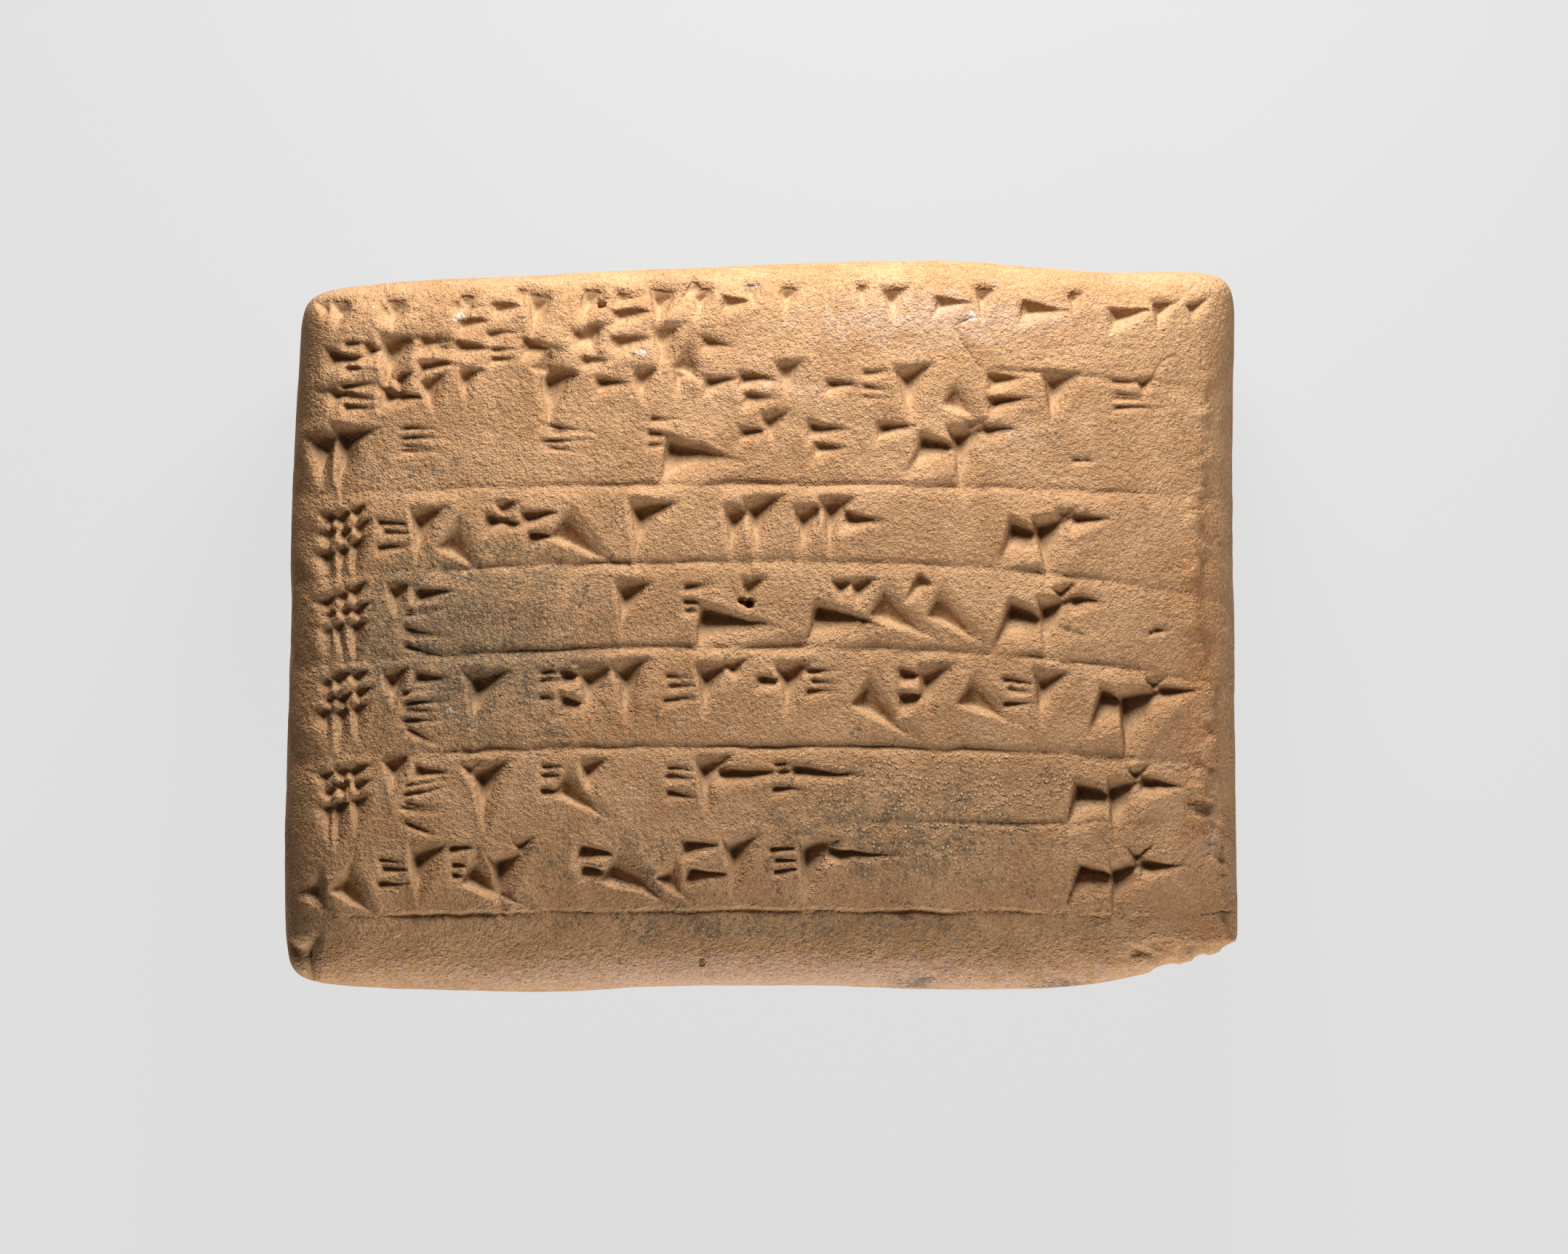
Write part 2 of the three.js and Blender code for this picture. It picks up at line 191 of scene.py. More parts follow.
@dataclass
class Blank:
    """The hand-squared pillow of clay before it is written on.

    A point (a, b, c) of the cube from -1 to 1 is carried onto the pillow by the factor
    t = (r^m + |c|^m)^(-1/m), where r is the outline's radius (|a|^n + |b|^n)^(1/n), n is the
    squareness of the nearest corner and m that of the section; then a and b are stretched
    to the hand-squared edges and c to the rise of its side.
    """

    length: float = 54.0
    thickness: float = 17.0
    parting: float = 8.7
    back_depth: float = 8.9
    face_section: Section = Section(left=7.5, right=6.0, bottom=4.6, top=8.5)
    back_section: Section = Section(left=4.2, right=4.2, bottom=3.1, top=3.1)
    blend_power: float = 7.0
    corners: dict[tuple[int, int], float] = field(
        default_factory=lambda: {(-1, 1): 28.0, (1, 1): 23.0, (-1, -1): 26.0, (1, -1): 60.0}
    )
    top: Stations = (
        (-27, 19.0), (-20.4, 19.55), (-10.4, 20.0), (-2.2, 20.4),
        (9.5, 20.75), (16, 20.3), (20, 20.05), (27, 20.3),
    )
    bottom: Stations = (
        (-27, 20.2), (-20.4, 20.55), (-11.2, 20.75), (-6.3, 20.5),
        (3.6, 20.4), (12, 20.6), (19.3, 20.2), (27, 18.2),
    )
    left: Stations = (
        (-21, 27), (-11.3, 27), (-3, 26.8), (1.1, 26.68),
        (4.2, 26.8), (10.4, 26.55), (15.6, 26.2), (21, 26.0),
    )
    right: Stations = (
        (-21, 27), (-14.4, 26.96), (-1, 26.75), (9.4, 26.63), (15.6, 26.75), (21, 26.95),
    )
    cells: tuple[int, int, int] = (450, 346, 64)
    crowding: float = 0.35

    def radius(self, x: Grid, y: Grid) -> Grid:
        """Outline radius: 1 on the outline, from the power of the corner each place is near.

        Args:
            x: Places along X, from -1 to 1.
            y: Places along Y, from -1 to 1.

        Returns:
            (|x|^n + |y|^n)^(1/n), with n the squareness of the nearest corner.
        """
        power = np.zeros_like(x)
        for (across, up), value in self.corners.items():
            power += np.where(((x < 0) == (across < 0)) & ((y < 0) == (up < 0)), value, 0.0)
        return (np.abs(x) ** power + np.abs(y) ** power) ** (1.0 / power)

    def power(self, section: Section, x: Grid, y: Grid) -> Grid:
        """Section squareness in the direction (x, y), between those of the nearest two edges.

        Args:
            section: The four edges' squareness.
            x: Places along X.
            y: Places along Y.

        Returns:
            Their mean, weighted by |x| and |y| to the blend power.
        """
        along = np.abs(x) ** self.blend_power
        across = np.abs(y) ** self.blend_power + 1e-12
        sideways = np.where(x < 0, section.left, section.right)
        upright = np.where(y < 0, section.bottom, section.top)
        return (sideways * along + upright * across) / (along + across)

    def lattice(self) -> tuple[Grid, Grid]:
        """The closed cube's corner points and its square faces, each point once.

        Returns:
            Points as whole numbers along each axis, and quads of point numbers wound outward.
        """
        counts = self.cells
        corners, quads, offset = [], [], 0
        for axis, end in product(range(3), (0, 1)):
            u, v = (axis + 1) % 3, (axis + 2) % 3
            grid = np.zeros((counts[u] + 1, counts[v] + 1, 3), dtype=np.int64)
            grid[..., axis] = end * counts[axis]
            grid[..., u] = np.arange(counts[u] + 1)[:, None]
            grid[..., v] = np.arange(counts[v] + 1)[None, :]
            number = offset + np.arange(grid.shape[0] * grid.shape[1]).reshape(grid.shape[:2])
            ring = [number[:-1, :-1], number[1:, :-1], number[1:, 1:], number[:-1, 1:]]
            quad = np.stack(ring if end else ring[::-1], axis=-1)
            corners.append(grid.reshape(-1, 3))
            quads.append(quad.reshape(-1, 4))
            offset += number.size
        points = np.concatenate(corners)
        key = (points[:, 0] * 4096 + points[:, 1]) * 4096 + points[:, 2]
        _, first, twin = np.unique(key, return_index=True, return_inverse=True)
        return points[first], twin[np.concatenate(quads)]

    def surface(self) -> tuple[Grid, Grid]:
        """The pillow's points in millimetres and its quads.

        Returns:
            The points, carried from the cube as the class describes, and the quads of their numbers.
        """
        whole, quads = self.lattice()
        cube = 2.0 * whole / np.array(self.cells) - 1.0
        cube = (1 - self.crowding) * cube + self.crowding * np.sin(cube * math.pi / 2)
        a, b, c = cube.T
        power = np.where(c > 0, self.power(self.face_section, a, b), self.power(self.back_section, a, b))
        scale = (self.radius(a, b) ** power + np.abs(c) ** power) ** (-1.0 / power)
        x, y, z = a * scale, b * scale, c * scale
        half = self.length / 2
        below, above = through_stations(self.bottom, x * half), through_stations(self.top, x * half)
        across = np.where(y < 0, below, above)
        plan_y = y * across
        along = np.where(x < 0, through_stations(self.left, plan_y), through_stations(self.right, plan_y))
        rise = np.where(c > 0, self.thickness - self.parting, self.back_depth)
        return np.stack([x * along, plan_y, self.parting + rise * z], axis=1), quads


def outward(points: Grid, quads: Grid) -> Grid:
    """Unit normals: each point's share of the cross products of its quads' diagonals.

    Args:
        points: The mesh's points.
        quads: Point numbers, wound outward.

    Returns:
        One unit normal to each point.
    """
    cross = np.cross(points[quads[:, 2]] - points[quads[:, 0]], points[quads[:, 3]] - points[quads[:, 1]])
    normal = np.zeros_like(points)
    for corner in range(4):
        for axis in range(3):
            normal[:, axis] += np.bincount(quads[:, corner], cross[:, axis], len(points))
    return normal / np.linalg.norm(normal, axis=1, keepdims=True)


def mesh_of(name: str, points: Grid, quads: Grid) -> bpy.types.Mesh:
    """A mesh from arrays of points, in metres, and of quads.

    Args:
        name: The mesh's name.
        points: One row to a point.
        quads: One row of point numbers to a face.

    Returns:
        The mesh, not yet in any object.
    """
    mesh = bpy.data.meshes.new(name)
    mesh.vertices.add(len(points))
    mesh.vertices.foreach_set("co", points.astype(np.float32).ravel())
    mesh.loops.add(quads.size)
    mesh.loops.foreach_set("vertex_index", quads.astype(np.int32).ravel())
    mesh.polygons.add(len(quads))
    mesh.polygons.foreach_set("loop_start", np.arange(0, quads.size, 4, dtype=np.int32))
    mesh.update(calc_edges=True)
    return mesh


# ---- Relief --------------------------------------------------------------


@dataclass
class Chart:
    """A map of one written side, seen in plan, that holds heights and stains."""

    half_x: float = 28.0
    half_y: float = 22.0
    pitch: float = 0.05

    def __post_init__(self) -> None:
        """Lays out the places and a level height."""
        self.columns = int(2 * self.half_x / self.pitch) + 1
        self.rows = int(2 * self.half_y / self.pitch) + 1
        along = np.linspace(-self.half_x, self.half_x, self.columns)
        up = np.linspace(-self.half_y, self.half_y, self.rows)
        self.x, self.y = np.meshgrid(along, up)
        self.height = np.zeros_like(self.x)

    def window(self, x: float, y: float, reach: float) -> tuple[slice, slice]:
        """Rows and columns within reach of a place.

        Args:
            x: The place along X.
            y: The place along Y.
            reach: How far either side, in millimetres.

        Returns:
            A slice of rows and a slice of columns, held inside the chart.
        """
        j = (np.array([y - reach, y + reach]) + self.half_y) / self.pitch
        i = (np.array([x - reach, x + reach]) + self.half_x) / self.pitch
        j = np.clip(j.astype(int), 0, self.rows)
        i = np.clip(i.astype(int), 0, self.columns)
        return slice(j[0], j[1] + 1), slice(i[0], i[1] + 1)

    def blur(self, values: Grid, spread: float) -> Grid:
        """Gaussian blur of standard deviation `spread`, as a product of Fourier transforms.

        Args:
            values: A map of the chart's size.
            spread: Standard deviation, in millimetres.

        Returns:
            The blurred map.
        """
        fy = np.fft.fftfreq(values.shape[0], self.pitch)[:, None]
        fx = np.fft.rfftfreq(values.shape[1], self.pitch)[None, :]
        passed = np.exp(-2.0 * (math.pi * spread) ** 2 * (fx * fx + fy * fy))
        return np.fft.irfft2(np.fft.rfft2(values) * passed, s=values.shape)

    def stir(self, reach: float, pitch: float, seed: int) -> None:
        """Shifts the relief sideways by up to `reach`, by smooth noise `pitch` across.

        Args:
            reach: The furthest shift, in millimetres.
            pitch: Breadth of the noise.
            seed: Chooses the noise.
        """
        across = reach * layered_noise(self.x, self.y, 0.0, pitch, seed, 2)
        along = reach * layered_noise(self.x, self.y, 0.0, pitch, seed + 6, 2)
        self.height = self.sample(self.height, self.x + across, self.y + along)

    def sample(self, values: Grid, x: Grid, y: Grid) -> Grid:
        """Bilinear reading of a map at any places.

        Args:
            values: A map of the chart's size.
            x: Places along X.
            y: Places along Y.

        Returns:
            The map's value at each place, held level beyond its edges.
        """
        u = np.clip((x + self.half_x) / self.pitch, 0, self.columns - 1.001)
        v = np.clip((y + self.half_y) / self.pitch, 0, self.rows - 1.001)
        i, j = u.astype(int), v.astype(int)
        s, t = u - i, v - j
        low = values[j, i] * (1 - s) + values[j, i + 1] * s
        high = values[j + 1, i] * (1 - s) + values[j + 1, i + 1] * s
        return low * (1 - t) + high * t


@dataclass(frozen=True)
class Wedge:
    """One press of the stylus: a steep head, a narrow wall, and a broad wall.

    `heading` is the tail's direction in degrees from +X, `valley` the share of the breadth
    at which the two walls meet, and `plunge` the deepest point's distance from the head.
    """

    heading: float
    length: float
    breadth: float
    depth: float
    valley: float
    plunge: float

    def press(self, chart: Chart, x: float, y: float, wobble: Callable[[int], float]) -> None:
        """Lowers the chart under one press.

        The pit is the highest of three planes, each 0 on one side of the rim triangle and
        -depth at the deepest point. The depths of the head and of the broad wall are then
        raised to powers above 1, which turn their rims into soft shoulders.

        Args:
            chart: The map to press into.
            x: Place of the middle of the head, along the lines.
            y: Place of the middle of the head, across them.
            wobble: Gives the hand's unsteadiness in each of four ways, from -1 to 1.
        """
        heading = math.radians(self.heading + wobble(2) * Hand.TURN)
        size = 1.0 + wobble(3) * Hand.SIZE
        tail = (math.cos(heading), math.sin(heading))
        hand = 1.0 if self.heading < -60 else -1.0
        x0, y0 = x + wobble(0) * Hand.SHIFT, y + wobble(1) * Hand.SHIFT
        rows, columns = chart.window(x, y, Hand.MARGIN * self.length + self.breadth)
        dx, dy = chart.x[rows, columns] - x0, chart.y[rows, columns] - y0
        u = dx * tail[0] + dy * tail[1]
        v = (-dx * tail[1] + dy * tail[0]) * hand
        half, depth = self.breadth * size / 2, self.depth * size * Hand.WEIGHT
        deep = (self.plunge, half * (2 * self.valley - 1))
        leaning = self.valley > 0.5
        near = (Hand.HEAD, -half * (Hand.SPREAD if leaning else 1.0))
        far = (Hand.HEAD, half * (1.0 if leaning else Hand.SPREAD))
        tip = (self.length * size * Hand.TAIL, deep[1])
        walls = (Hand.STEEP, Hand.SHOULDER) if leaning else (Hand.SHOULDER, Hand.STEEP)
        pit = np.full_like(u, -depth)
        outside = np.full_like(u, -np.inf)
        for start, end, power in ((near, far, Hand.BROW), (far, tip, walls[0]), (tip, near, walls[1])):
            run, rise = end[0] - start[0], end[1] - start[1]
            here = (u - start[0]) * rise - (v - start[1]) * run
            there = (deep[0] - start[0]) * rise - (deep[1] - start[1]) * run
            share = here / there
            pit = np.maximum(pit, -depth * np.maximum(share, 0.0) ** power)
            outside = np.maximum(outside, -depth * share)
        lip = Hand.LIP * depth * np.exp(-((np.maximum(outside, 0.0) / Hand.LIP_REACH) ** 2))
        level = chart.height[rows, columns] + np.where(outside > 0, lip, 0.0)
        pressed = np.where(outside > 0, outside, pit)
        chart.height[rows, columns] = soft_min(level, pressed, Hand.ROUNDING)


class Hand:
    """How unsteadily and how softly the scribe's stylus marks the clay."""

    SHIFT = 0.13
    TURN = 6.0
    SIZE = 0.12
    WEIGHT = 1.5
    SPREAD = 1.5
    SHOULDER = 1.6
    BROW = 1.3
    STEEP = 1.1
    ROUNDING = 0.1
    LIP = 0.07
    LIP_REACH = 0.35
    MARGIN = 1.3
    HEAD = -0.1
    TAIL = 1.08


WEDGES = {
    "tall": Wedge(-90, 3.5, 2.1, 0.8, 0.38, 0.95),
    "short": Wedge(-90, 2.1, 1.5, 0.6, 0.38, 0.65),
    "nail": Wedge(-84, 1.3, 1.3, 0.46, 0.42, 0.4),
    "spike": Wedge(-86, 2.3, 1.2, 0.46, 0.42, 0.4),
    "post": Wedge(-88, 4.2, 2.7, 0.9, 0.2, 0.8),
    "slab": Wedge(-13, 4.2, 2.6, 0.85, 0.3, 0.4),
    "level": Wedge(0, 2.5, 1.2, 0.5, 0.38, 0.5),
    "tooth": Wedge(0, 2.12, 0.62, 0.28, 0.4, 0.2),
    "streak": Wedge(-3, 5.0, 1.0, 0.52, 0.4, 0.4),
    "slant": Wedge(-30, 3.8, 1.9, 0.62, 0.76, 0.5),
    "rise": Wedge(-125, 2.2, 1.1, 0.55, 0.5, 0.4),
    "hook": Wedge(-40, 2.5, 1.9, 0.6, 0.78, 0.5),
    "rake": Wedge(9, 3.3, 0.46, 0.24, 0.4, 0.5),
    "comb": Wedge(-4, 3.4, 0.46, 0.24, 0.4, 0.5),
    "fan": Wedge(-20, 3.3, 0.56, 0.27, 0.4, 0.5),
    "dent": Wedge(0, 0.9, 0.45, 0.25, 0.5, 0.3),
}

# A mark is a handful of wedges: (wedge, distance right, distance down).
MARKS = {
    "|": (("tall", 0, 0),),
    "i": (("short", 0, 0),),
    "v": (("nail", 0, 0),),
    "!": (("tall", 0, 0.3), ("tall", 1.35, 0)),
    "-": (("level", 0, 1.1),),
    "=": (("level", 0, 0.8), ("level", 0.15, 2.0)),
    "_": (("slab", 0, 2.4),),
    "~": (("streak", 0, 1.0),),
    "\\": (("slant", 0, 1.4),),
    "/": (("rise", 0.6, -0.2),),
    "<": (("hook", 0, 1.7),),
    ":": (("dent", 0, 2.4), ("dent", 0.5, 2.1)),
    "e": (("tooth", 0, 0.5), ("tooth", 0.1, 1.15), ("tooth", 0, 1.85)),
    "E": (("tooth", 0, 0.75), ("tooth", 0.1, 1.4), ("tooth", 0, 2.1), ("tall", 2.5, 0)),
    "M": (
        ("short", -0.1, -0.3),
        ("level", 0.9, 0.4),
        *(("rake", 0.3, 1.3 + 0.46 * course) for course in range(2)),
        *(("comb", 0.2, 2.2 + 0.46 * course) for course in range(2)),
        ("fan", 0.3, 3.15),
    ),
    "w": tuple(("comb", 0.1 * (course % 2), 0.4 + 0.45 * course) for course in range(4)),
    "Y": (("nail", 0.9, -0.1), ("tall", 0, 0.7)),
    "T": (("slab", 0, 1.9), ("post", 3.0, 0.6), ("nail", 3.4, 0.1), ("level", 3.6, 0.9)),
    "#": tuple(
        (wedge, 0.86 * column + 0.12 * (course % 2), 0.94 * course - 0.14 * column)
        for course, wedge in enumerate(("nail", "nail", "spike"))
        for column in range(3)
    ),
}


@dataclass(frozen=True)
class Ruling:
    """A ruled line: its heights at left, middle and right, and where it starts and stops."""

    left: float
    middle: float
    right: float
    start: float
    stop: float

    def course(self, x: Grid, half_length: float) -> Grid:
        """Height of the line at each place, falling away late towards its ends."""
        share = np.minimum(np.abs(x) / half_length, 1.0) ** Writing.DROOP_POWER
        return self.middle - np.where(x < 0, self.middle - self.left, self.middle - self.right) * share

    def press(self, chart: Chart, half_length: float) -> None:
        """Draws a groove with a steep upper wall, which swells from nothing at its ends.

        Args:
            chart: The map to draw on.
            half_length: Half the tablet's length.
        """
        share = (chart.x - self.start) / (self.stop - self.start)
        swell = np.clip(Writing.GROOVE_SWELL * np.minimum(share, 1.0 - share), 0.0, 1.0)
        gap = chart.y - self.course(chart.x, half_length)
        along = chart.x[:1]
        wander = 0.75 + 0.7 * layered_noise(along, np.zeros_like(along) + self.middle, 0.0, 4.0, 71)
        wall = np.where(gap > 0, gap / Writing.GROOVE_ABOVE, -gap / Writing.GROOVE_BELOW) - 1.0
        groove = np.where(swell > 0, Writing.GROOVE_DEPTH * wander * swell * wall, np.inf)
        chart.height = soft_min(chart.height, np.minimum(groove, 1.0), Writing.GROOVE_ROUNDING)


@dataclass
class Writing:
    """The written lines and ruled lines of one side."""

    side: Side
    lines: Sequence[tuple[float, str]]
    rulings: Sequence[Ruling]
    half_length: float
    worn: tuple[float, float] = (17.5, 10.5)

    FIRST_CELL = -25.5
    CELL = 1.0
    DROOP = (1.1, 1.3)
    DROOP_POWER = 2.4
    GROOVE_DEPTH = 0.21
    GROOVE_ABOVE = 0.16
    GROOVE_BELOW = 0.42
    GROOVE_SWELL = 8.0
    GROOVE_ROUNDING = 0.1

    def wedges(self) -> Iterator[tuple[Wedge, float, float, int]]:
        """Every wedge in reading order, less those that the worn spot has rubbed away.

        Yields:
            The wedge, its place along X and Y, and its number.
        """
        number = 0
        for height, marks in self.lines:
            for cell, mark in enumerate(marks):
                for name, right, down in MARKS.get(mark, ()):
                    x = self.FIRST_CELL + cell * self.CELL + right
                    fall = self.DROOP[x >= 0] * min(abs(x) / self.half_length, 1.0) ** self.DROOP_POWER
                    y = height - down - fall
                    rubbed = math.hypot(x / self.worn[0], y / self.worn[1]) < 1
                    if self.side is Side.BACK and rubbed:
                        continue
                    yield WEDGES[name], x, y, number
                    number += 1

    def press(self, chart: Chart) -> None:
        """Rules the lines, then presses every wedge between them.

        Args:
            chart: The map to write on.
        """
        for ruling in self.rulings:
            ruling.press(chart, self.half_length)
        for wedge, x, y, number in self.wedges():
            wedge.press(chart, x, y, lambda way: hand_hash(4 * number + way))


FACE_LINES = (
    (19.2, " vi -i  =v- v| -i=  |/i- v i   v i -  i -  v -  i v "),
    (17.0, " -e- |=e- e -< =i-  |<-                             "),
    (14.7, " -e -v i i   -| -  i i- =  i - e  | \\ =   |  w v    "),
    (12.0, " !   w       w     e_   - i =   - T        :        "),
    (7.2, " #  E   < -v= \\    |    !   ! -        T            "),
    (2.7, " #   M            |  e_  i  _ vi\\ /\\   T       :    "),
    (-2.0, " #   M   v|  e= | | E   v- |e  \\ = | \\ E    T       "),
    (-7.2, " #   M   v|  e\\ i   E  ~  e~               T        "),
    (-11.72, "< < E   e\\ Y   = \\  <=  | E  ~             T        "),
)
BACK_LINES = (
    (14.0, "    E  | v =   -  |  v  =  i  | v   E   -           "),
    (9.2, "    |  =  i                                           "),
    (-11.2, "    i   |  =                       i   =  |         "),
)
FACE_RULINGS = (
    Ruling(12.9, 14.7, 13.2, -25.4, -19.5),
    Ruling(12.9, 14.7, 13.2, 12, 25.2),
    Ruling(7.3, 8.0, 7.0, -25.6, 25.0),
    Ruling(2.5, 3.7, 1.2, -22, 25.0),
    Ruling(-2.4, -1.1, -3.5, -23.5, 25.0),
    Ruling(-7.4, -6.7, -8.0, -22.5, 25.2),
    Ruling(-11.6, -10.9, -11.1, 3.4, 23.6),
    Ruling(-16.4, -15.9, -16.5, -26, 25.4),
)
BACK_RULINGS = (
    Ruling(9.6, 10.3, 9.6, -22, 22),
    Ruling(-10.6, -10.0, -10.6, -22, 22),
)


# ---- Wear ----------------------------------------------------------------


@dataclass(frozen=True)
class Crack:
    """A hairline through a few places, with its width and depth."""

    course: tuple[tuple[float, float], ...]
    width: float
    depth: float

    def open(self, chart: Chart) -> None:
        """Cuts a V along the course, which wanders sideways with smooth noise.

        Args:
            chart: The map to cut.
        """
        middle = np.mean(self.course, axis=0)
        reach = float(np.ptp(self.course, axis=0).max()) + 1.0
        part = chart.window(middle[0], middle[1], reach)
        x, y = chart.x[part], chart.y[part]
        x, y = x + 0.18 * layered_noise(x, y, 0.0, 1.1, 311), y + 0.18 * layered_noise(x, y, 0.0, 1.1, 331)
        nearest = np.full_like(x, np.inf)
        for (x0, y0), (x1, y1) in zip(self.course, self.course[1:]):
            run, rise = x1 - x0, y1 - y0
            dx, dy = x - x0, y - y0
            share = np.clip((dx * run + dy * rise) / (run * run + rise * rise), 0.0, 1.0)
            nearest = np.minimum(nearest, np.hypot(dx - share * run, dy - share * rise))
        chart.height[part] -= self.depth * np.maximum(1.0 - nearest / self.width, 0.0)


@dataclass(frozen=True)
class Hole:
    """A deep pit where a grain has fallen out."""

    x: float
    y: float
    radius: float
    depth: float

    def open(self, chart: Chart) -> None:
        """Sinks a steep-sided pit: depth * (1 - (r/radius)^4), with a ragged radius.

        Args:
            chart: The map to cut.
        """
        part = chart.window(self.x, self.y, 2.0 * self.radius)
        x, y = chart.x[part], chart.y[part]
        ragged = 1.0 + 0.35 * layered_noise(x, y, 0.0, 0.3, 401)
        share = np.hypot(x - self.x, (y - self.y) * 1.25) / (self.radius * ragged)
        chart.height[part] -= self.depth * np.maximum(1.0 - share**4, 0.0)


@dataclass(frozen=True)
class Scar:
    """A shallow flake lost from the skin, with a crumbly floor."""

    x: float
    y: float
    reach_x: float
    reach_y: float
    depth: float

    def open(self, chart: Chart) -> None:
        """Sinks a ragged oval: depth * (1 - r^2), with crumbs of half the depth on its floor.

        Args:
            chart: The map to cut.
        """
        part = chart.window(self.x, self.y, 2.0 * max(self.reach_x, self.reach_y))
        x, y = chart.x[part], chart.y[part]
        ragged = 1.0 + 0.5 * layered_noise(x, y, 0.0, 0.8, 421)
        share = np.hypot((x - self.x) / self.reach_x, (y - self.y) / self.reach_y) / ragged
        floor = np.maximum(1.0 - share**2, 0.0)
        crumbs = 0.5 * layered_noise(x, y, 0.0, 0.35, 431)
        chart.height[part] -= self.depth * floor * (1.0 + crumbs)


@dataclass(frozen=True)
class Notch:
    """A bite out of the rim."""

    x: float
    y: float
    radius: float
    depth: float

    def bite(self, x: Grid, y: Grid, z: Grid) -> Grid:
        """How deep it cuts at each point: depth * sqrt(1 - (r/radius)^2), with a ragged radius.

        Args:
            x: Points along X.
            y: Points along Y.
            z: Points along Z.

        Returns:
            The depth at each point, 0 outside the bite.
        """
        ragged = 1.0 + 0.15 * layered_noise(x, y, z, 0.6, 441, 2)
        share = np.hypot(x - self.x, y - self.y) / (self.radius * ragged)
        return self.depth * np.maximum(1.0 - share**2, 0.0) ** 0.5


@dataclass(frozen=True)
class Patch:
    """A soft-edged oval on a chart, for wear or a stain."""

    x: float
    y: float
    reach_x: float
    reach_y: float
    strength: float = 1.0

    def cover(self, chart: Chart) -> Grid:
        """A soft-edged oval on a chart, for wear, a stain, painted light or painted shade."""
        square = ((chart.x - self.x) / self.reach_x) ** 2 + ((chart.y - self.y) / self.reach_y) ** 2
        return self.strength * np.exp(-square)


def covered(chart: Chart, patches: Sequence[Patch]) -> Grid:
    """The strongest of several patches at each place."""
    return np.maximum.reduce([patch.cover(chart) for patch in patches])


# The crest down the right border: its distance from the middle at each height.
SHOULDER = (
    (-18.4, 26.5),
    (-16.2, 25.6),
    (-13.7, 25.8),
    (-12.0, 25.4),
    (-9.8, 24.3),
    (-8.0, 24.9),
    (-4.2, 25.1),
    (-0.5, 24.3),
    (6.0, 24.5),
    (12.0, 24.6),
    (18.0, 25.0),
)

CRACKS = (
    Crack(((11.7, 17.4), (10.9, 16.9), (11.1, 16.2), (11.9, 15.1), (12.3, 14.4)), 0.07, 0.22),
    Crack(((9.99, 20.6), (9.7, 20.0), (9.37, 19.3)), 0.06, 0.14),
    Crack(((15.8, 15.6), (18.3, 15.9), (21.2, 15.5)), 0.05, 0.1),
    Crack(((21.8, 14.0), (22.4, 14.9), (23.2, 15.4)), 0.06, 0.12),
    Crack(((-3.9, -16.9), (-3.7, -17.9), (-3.3, -19.0), (-3.2, -19.8)), 0.07, 0.16),
    Crack(((24.6, -16.2), (26.6, -16.0)), 0.07, 0.15),
    Crack(((20.0, 5.6), (20.3, 3.9)), 0.05, 0.08),
)
HOLES = (
    Hole(-0.8, 1.3, 0.34, 1.5),
    Hole(-1.2, 1.45, 0.2, 1.1),
    Hole(-9.05, 18.1, 0.28, 1.0),
    Hole(-3.5, -18.9, 0.22, 0.45),
)
CHIPS = (
    (22.6, -19.2, Wedge(14, 4.6, 2.4, 0.9, 0.35, 2.0)),
    (-26.0, -17.6, Wedge(-75, 3.0, 1.8, 0.5, 0.5, 1.0)),
    (20.6, -18.2, Wedge(-10, 2.6, 0.9, 0.3, 0.5, 0.5)),
)
SCARS = (
    Scar(25.3, -11.4, 0.9, 2.0, 0.32),
    Scar(24.6, -10.2, 0.9, 0.7, 0.25),
    Scar(25.9, -13.4, 0.5, 1.0, 0.3),
    Scar(25.2, -1.2, 0.4, 0.9, 0.18),
    Scar(24.9, 3.6, 0.4, 0.7, 0.16),
    Scar(22.4, -17.9, 1.4, 0.35, 0.2),
    Scar(24.2, -18.2, 0.8, 0.4, 0.25),
)
NOTCHES = (
    Notch(22.9, -19.8, 1.0, 0.22),
    Notch(24.9, -19.2, 0.7, 0.24),
    Notch(26.5, -18.4, 0.6, 0.22),
)
WORN_PATCHES = (
    Patch(-19.0, 17.6, 6.5, 3.0),
    Patch(-8.0, 16.2, 7.5, 2.6),
    Patch(-3.0, 13.2, 9.0, 1.6, 0.7),
    Patch(7.0, 12.0, 5.0, 2.5, 0.6),
    Patch(-10.0, -5.0, 6.0, 2.2, 0.6),
    Patch(-3.6, 10.0, 3.4, 1.5, 0.9),
    Patch(-25.0, 0.0, 1.4, 16.0, 0.6),
)


# ---- The tablet ----------------------------------------------------------


